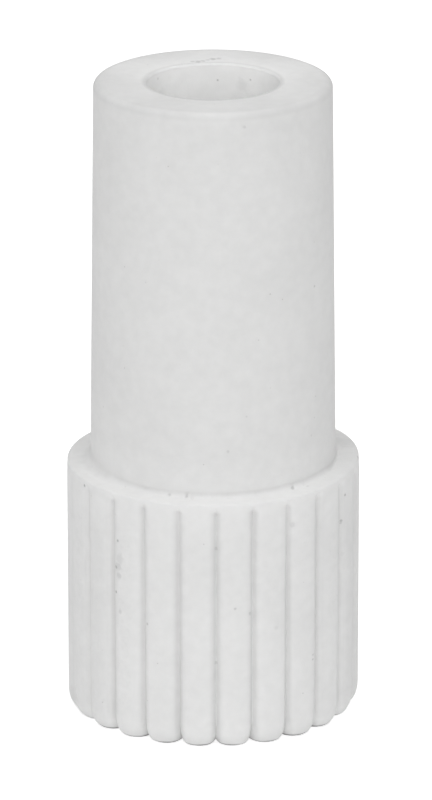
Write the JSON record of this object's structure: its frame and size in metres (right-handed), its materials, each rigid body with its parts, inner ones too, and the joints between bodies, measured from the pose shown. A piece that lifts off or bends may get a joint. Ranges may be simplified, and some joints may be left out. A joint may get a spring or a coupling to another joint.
{
  "type": "wall anchor",
  "caption": "White nylon wall anchor: smooth thick-walled barrel pressed into a wider ribbed collar that holds a sliding brass cone nut for a machine bolt.",
  "frame": {"origin": "on the axis, in the plane of the ribbed nose face that the anchor stands on", "axes": "+Z along the axis, from the ribbed nose that goes into the wall first to the barrel's open mouth where the bolt enters; the axis is the axis of revolution"},
  "size_m": [0.024, 0.024, 0.0528],
  "materials": {
    "barrel_nylon": "matte white moulded nylon with a fine grain",
    "collar_nylon": "matte white moulded nylon with a fine grain",
    "ring_nylon": "satin natural nylon",
    "nut_brass": "bright turned brass"
  },
  "bodies": {
    "anchor_body": {"smooth_barrel": "barrel_nylon", "ribbed_collar": "collar_nylon", "retaining_ring": "ring_nylon"},
    "draw_nut": {"cone_nut": "nut_brass"}
  },
  "joints": [
    {"name": "nut_draw", "type": "slide", "parent": "anchor_body", "child": "draw_nut", "axis": [0, 0, 1], "range_m": [0, 0.004]}
  ]
}
